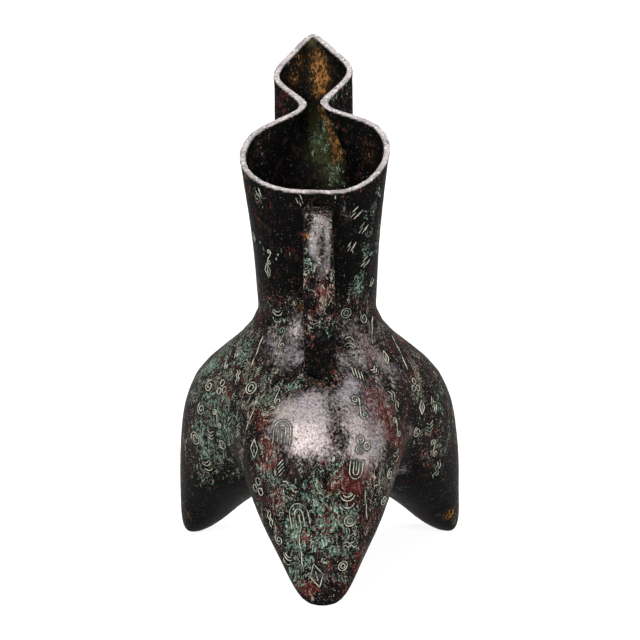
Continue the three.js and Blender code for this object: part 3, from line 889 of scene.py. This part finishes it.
grains = {  # noise: scale per metre, detail, roughness, distortion
    "fine": (700, 2, 0.5, 0),
    "finer": (820, 2, 0.6, 0),
    "mottling": (150, 4, 0.65, 0.5),
    "red": (115, 5, 0.7, 0.8),
    "redFine": (560, 3, 0.6, 0),
    "bare": (380, 4, 0.7, 0.3),
    "lilac": (28, 2, 0.6, 0),
    "pits": (900, 1, 0.5, 0),
    "crust": (250, 4, 0.75, 0.9),
    "crustFine": (760, 2, 0.5, 0),
    "crustWide": (60, 4, 0.65, 0.5),
    "greenFine": (950, 2, 0.6, 0),
    "veins": (125, 3, 0.6, 1.2),
    "veinPlaces": (100, 5, 0.75, 0),
    "dust": (1050, 1, 0.5, 0),
    "earth": (260, 4, 0.7, 0),
    "lipWorn": (420, 7, 0.8, 0),
    "lipWide": (90, 3, 0.6, 0),
    "lipFine": (640, 2, 0.6, 0),
}

parts = {  # of two values in a sum
    "mottling": (0.6, 0.4),
    "red": (0.65, 0.35),
    "bare": (0.7, 0.55),
    "crust": (0.6, 0.3),
    "earth": (0.6, 0.4),
    "height": (0.5, 0.6),
}

pulls = {  # how far each mask moves a noise
    "brown": {"light": 0.07},
    "red": {"red": 0.16, "light": 0.04},
    "bare": {"lit": 0.06},
    "crust": {"wide": 0.5, "green": 0.12, "light": 0.03, "bare": -0.05},
    "veins": {"green": 0.14, "light": 0.09},
    "dust": {"light": 0.02},
    "ochre": {"ochre": 0.28},
    "crumbs": {"soiled": -0.22},
}

bands = {  # where a share starts and is full, and its two ends where they aren't 0 and 1
    "brown": (0.53, 0.63),
    "red": (0.60, 0.63),
    "redPale": (0.50, 0.64),
    "bare": (0.74, 1.06),
    "lilac": (0.42, 0.58),
    "pits": (0.50, 0.34, 0, 0.65),
    "green": (0.845, 0.87),
    "greenTeal": (0.42, 0.50),
    "greenPale": (0.56, 0.62),
    "vein": (0.14, 0.07),
    "veinPlaces": (0.625, 0.675),
    "veinGreen": (0.15, 0.6),
    "dust": (0.69, 0.73),
    "dustLight": (-0.3, 1.0, 0.12, 0.85),
    "stain": (0.44, 0.58, 0.25, 1.0),
    "earth": (0.44, 0.58),
    "ochre": (0.60, 0.72),
    "ochreMask": (0.02, 0.25),
    "lipGrey": (0.40, 0.60),
    "lipWhite": (0.54, 0.66),
    "lipDark": (0.36, 0.50),
    "lipCrumbs": (0.27, 0.37),
    "rough": (0.3, 0.7, 0.44, 0.62),
}

finishes = {
    # the rubbed share says how much bare metal and painted sheen shows, grainy how ragged its edge
    # is
    "patinatedBronze": {"bump": 0.6, "metal": (0.33, 0.285, 0.28), "rubbedAndSheen": 1.0, "grainy": 0.75},
    "wornAndSheenBronze": {"bump": 0.5, "metal": (0.22, 0.19, 0.19), "rubbedAndSheen": 1.5, "grainy": 0.6},
}


def patinaMaterial(name):
    finish = finishes[name]
    material, tree = newTree(name)
    place = put(tree, "TexCoord").outputs["Object"]
    masks = {kind: maskOf(tree, kind) for kind in ("green", "red", "bare", "shadeAndBlack", "ochre",
                                                   "lip", "inside", "grooveAndShadow")}
    # painted shade: the shade-and-black mask and the inside of the mouth hold back brown, red,
    # crust, veins, dust and bare sheen; light is the rest
    shaded = calc(tree, "MAXIMUM", masks["shadeAndBlack"], masks["inside"])
    masks["light"] = calc(tree, "SUBTRACT", 1.0, shaded)

    # crust and wear run a little down the wall
    streaks = put(tree, "Mapping", {"Vector": place, "Scale": (1, 1, patina["streak"])})
    streaks = streaks.outputs["Vector"]
    fineGrain = grain(tree, streaks, grains["fine"])
    finerGrain = grain(tree, streaks, grains["finer"])

    mottling = mixed(tree, grain(tree, place, grains["mottling"]), fineGrain, parts["mottling"])
    brownShare = band(tree, pulled(tree, mottling, masks, pulls["brown"]), *bands["brown"])
    colour = blendColour(tree, brownShare, patina["black"], patina["brown"])

    # red copper oxide, in ragged patches
    redSum = mixed(tree, grain(tree, place, grains["red"]), finerGrain, parts["red"])
    redShare = band(tree, pulled(tree, redSum, masks, pulls["red"]), *bands["red"])
    redFine = grain(tree, streaks, grains["redFine"])
    paleShare = band(tree, redFine, *bands["redPale"])
    redColour = blendColour(tree, paleShare, patina["red"], patina["redPale"])
    colour = blendColour(tree, redShare, colour, redColour)

    # bare, rubbed metal shows as a tinted, grainy sheen; as painted sheen it is laid on the
    # highlights and held back in the painted shade
    masks["lit"] = calc(tree, "MAXIMUM", masks["light"], 0.0)
    bareSum = mixed(tree, grain(tree, place, grains["bare"]), finerGrain, parts["bare"])
    bareSum = pulled(tree, calc(tree, "MULTIPLY", bareSum, finish["grainy"]), masks, pulls["bare"])
    bareSum = calc(tree, "ADD", bareSum, patina["bareMiddle"] * (1 - finish["grainy"]))
    bareSum = pulled(tree, bareSum, masks, {"bare": patina["bareReach"] * finish["rubbedAndSheen"]})
    bareShare = band(tree, bareSum, *bands["bare"])
    lilacShare = band(tree, grain(tree, place, grains["lilac"]), *bands["lilac"])
    tint = blendColour(tree, lilacShare, finish["metal"], patina["lilac"])
    tint = blendColour(tree, patina["lilacShare"], finish["metal"], tint)
    pitShare = band(tree, grain(tree, place, grains["pits"]), *bands["pits"])
    tint = blendColour(tree, pitShare, tint, patina["pit"])
    colour = blendColour(tree, bareShare, colour, tint)

    # green copper carbonate: a fine ragged crust
    masks["wide"] = grain(tree, place, grains["crustWide"])
    crustSum = mixed(tree, grain(tree, place, grains["crust"]),
                     grain(tree, streaks, grains["crustFine"]), parts["crust"])
    greenShare = band(tree, pulled(tree, crustSum, masks, pulls["crust"]), *bands["green"])
    greenFine = grain(tree, streaks, grains["greenFine"])
    greenColour = blendColour(tree, band(tree, greenFine, *bands["greenTeal"]),
                              patina["teal"], patina["green"])
    greenColour = blendColour(tree, band(tree, greenFine, *bands["greenPale"]),
                              greenColour, patina["pale"])
    colour = blendColour(tree, greenShare, colour, greenColour)

    # a net of thin pale veins, denser where the crust is
    veinSteps = calc(tree, "MULTIPLY", grain(tree, streaks, grains["veins"]), patina["veins"])
    veinGap = calc(tree, "SUBTRACT", calc(tree, "FRACT", veinSteps), 0.5)
    veinLine = band(tree, calc(tree, "ABSOLUTE", veinGap), *bands["vein"])
    veinSum = pulled(tree, grain(tree, streaks, grains["veinPlaces"]), masks, pulls["veins"])
    veinShare = calc(tree, "MULTIPLY", veinLine, band(tree, veinSum, *bands["veinPlaces"]))
    veinColour = blendColour(tree, band(tree, masks["green"], *bands["veinGreen"]),
                             patina["net"], patina["netGreen"])
    colour = blendColour(tree, calc(tree, "MULTIPLY", veinShare, patina["veinShare"]),
                         colour, veinColour)

    # specks of dust in the pits
    speckSum = pulled(tree, grain(tree, place, grains["dust"]), masks, pulls["dust"])
    speckShare = calc(tree, "MULTIPLY", band(tree, speckSum, *bands["dust"]),
                      band(tree, masks["light"], *bands["dustLight"]))
    colour = blendColour(tree, speckShare, colour, patina["dust"])

    # inside the mouth the earth and the crust also stain the dark wall evenly
    stained = calc(tree, "MULTIPLY", masks["inside"], band(tree, mottling, *bands["stain"]))
    for kind in ("ochre", "green"):
        colour = blendColour(tree, calc(tree, "MULTIPLY", stained, masks[kind]),
                             colour, patina[kind + "Stain"])

    # painted shadow beside the raised threads
    grooveShadowShare = calc(tree, "MULTIPLY", masks["grooveAndShadow"], patina["grooveShadowShare"])
    colour = blendColour(tree, grooveShadowShare, colour, patina["black"])

    # ochre earth, in the mouth most of all
    earthGrain = grain(tree, place, grains["earth"])
    earth = mixed(tree, earthGrain, fineGrain, parts["earth"])
    earthColour = blendColour(tree, band(tree, earth, *bands["earth"]),
                              patina["ochreDark"], patina["ochre"])
    ochreShare = band(tree, pulled(tree, finerGrain, masks, pulls["ochre"]), *bands["ochre"])
    ochreShare = calc(tree, "MULTIPLY", ochreShare, band(tree, masks["ochre"], *bands["ochreMask"]))
    colour = blendColour(tree, ochreShare, colour, earthColour)

    # the worn top face of the mouth, with crumbs of earth and crust on it
    greyShare = band(tree, grain(tree, place, grains["lipWide"]), *bands["lipGrey"])
    lipTone = blendColour(tree, greyShare, patina["lipGrey"], patina["lip"])
    whiteShare = band(tree, grain(tree, place, grains["lipFine"]), *bands["lipWhite"])
    lipTone = blendColour(tree, whiteShare, lipTone, patina["lipWhite"])
    wornShare = band(tree, grain(tree, place, grains["lipWorn"]), *bands["lipDark"])
    lipColour = blendColour(tree, wornShare, patina["lipDark"], lipTone)
    masks["soiled"] = calc(tree, "MAXIMUM", masks["ochre"], masks["green"])
    crumbs = pulled(tree, earthGrain, masks, pulls["crumbs"])
    lipShare = calc(tree, "MULTIPLY", masks["lip"], band(tree, crumbs, *bands["lipCrumbs"]))
    colour = blendColour(tree, lipShare, colour, lipColour)

    crusted = calc(tree, "MAXIMUM", calc(tree, "MAXIMUM", greenShare, veinShare), masks["grooveAndShadow"])
    rough = put(tree, "Mix", {"Factor": crusted, "A": band(tree, mottling, *bands["rough"]),
                              "B": patina["crustRough"]})
    plain = calc(tree, "SUBTRACT", 1.0, crusted)
    metallic = calc(tree, "MULTIPLY", bareShare, plain, clamp=True)
    relief = put(tree, "Bump", {"Height": mixed(tree, crusted, redFine, parts["height"]),
                                "Strength": finish["bump"], "Distance": patina["relief"]})
    shader = put(tree, "BsdfPrincipled", {"Base Color": colour,
                                          "Roughness": rough.outputs["Result"],
                                          "Metallic": metallic,
                                          "Normal": relief.outputs["Normal"],
                                          "Specular IOR Level": patina["specular"]})
    put(tree, "OutputMaterial", {"Surface": shader.outputs[0]})
    return material


filling = {
    "pale": (0.70, 0.67, 0.54),
    "greenish": (0.26, 0.36, 0.28),
    "worn": (0.10, 0.085, 0.075),
    "rough": 0.75,
    "greenGrain": (150, 6, 0.7, 0),
    "greenBand": (0.45, 0.62),
    "wornGrain": (210, 8, 0.8, 0),
    "wornBand": (0.50, 0.60),
}


def fillingMaterial():
    # pale filling, worn away in places
    material, tree = newTree("ornamentFilling")
    place = put(tree, "TexCoord").outputs["Object"]
    greenShare = band(tree, grain(tree, place, filling["greenGrain"]), *filling["greenBand"])
    colour = blendColour(tree, greenShare, filling["pale"], filling["greenish"])
    wornShare = band(tree, grain(tree, place, filling["wornGrain"]), *filling["wornBand"])
    colour = blendColour(tree, wornShare, colour, filling["worn"])
    shader = put(tree, "BsdfPrincipled", {"Base Color": colour, "Roughness": filling["rough"],
                                          "Specular IOR Level": patina["specular"]})
    put(tree, "OutputMaterial", {"Surface": shader.outputs[0]})
    return material


bronze = patinaMaterial("patinatedBronze")
for piece in castings:
    piece.data.materials.append(bronze)
strapPiece.data.materials.append(patinaMaterial("wornAndSheenBronze"))
ornamentPiece.data.materials.append(fillingMaterial())
for name in rivetHeads:
    for place in nodes[name].material_slots:
        place.material = bronze
print("materials:", len(bronze.node_tree.nodes), "nodes in the patina")


# Studio

studio = {
    "floorSize": 8.0,
    "floorSides": 96,
    "floorColour": (0.45, 0.45, 0.45, 1),
    "floorGlow": 0.9,
    "roomColour": (1, 1, 1, 1),
    "roomLevel": 0.15,
    "lamps": [
        # name, place, size, watts
        ("keyLamp", (-0.75, -1.75, 0.95), (0.55, 0.8), 26),
        ("sideLamp", (1.05, -1.55, 0.85), (0.3, 0.8), 14),
        ("topLamp", (0.0, 0.35, 1.7), (0.9, 0.9), 16),
    ],
}


def seenShare(tree):
    # 1 for rays that meet the background directly, in a reflection or through glass
    path = put(tree, "LightPath")
    direct = calc(tree, "MAXIMUM", path.outputs["Is Camera Ray"], path.outputs["Is Glossy Ray"])
    return calc(tree, "MAXIMUM", direct, path.outputs["Is Transmission Ray"])


def buildStudio():
    work = bmesh.new()
    bmesh.ops.create_circle(work, cap_ends=True, radius=studio["floorSize"] / 2,
                            segments=studio["floorSides"])
    mesh = bpy.data.meshes.new("floor")
    work.to_mesh(mesh)
    work.free()
    floor = linkMesh("floor", mesh)
    material, tree = newTree("paleFloor")
    matte = put(tree, "BsdfDiffuse", {"Color": studio["floorColour"]})
    glowing = calc(tree, "MULTIPLY", seenShare(tree), studio["floorGlow"])
    glow = put(tree, "Emission", {"Strength": glowing})
    both = put(tree, "AddShader", {0: matte.outputs[0], 1: glow.outputs[0]})
    put(tree, "OutputMaterial", {"Surface": both.outputs[0]})
    mesh.materials.append(material)

    world = bpy.data.worlds.new("room")
    bpy.context.scene.world = world
    world.use_nodes = True
    tree = world.node_tree
    tree.nodes.clear()
    level = put(tree, "MapRange", {"Value": seenShare(tree), "To Min": studio["roomLevel"],
                                   "To Max": 1.0})
    light = put(tree, "Background", {"Color": studio["roomColour"],
                                     "Strength": level.outputs["Result"]})
    put(tree, "OutputWorld", {"Surface": light.outputs[0]})

    for name, place, size, watts in studio["lamps"]:
        data = bpy.data.lights.new(name, "AREA")
        data.shape = "RECTANGLE"
        data.size, data.size_y = size
        data.energy = watts
        lamp = bpy.data.objects.new(name, data)
        lamp.location = place
        aim = Vector(camera["target"]) - Vector(place)
        lamp.rotation_euler = aim.to_track_quat("-Z", "Y").to_euler()
        bpy.context.scene.collection.objects.link(lamp)


buildStudio()
bpy.context.scene.view_settings.view_transform = "Standard"
print("studio built")
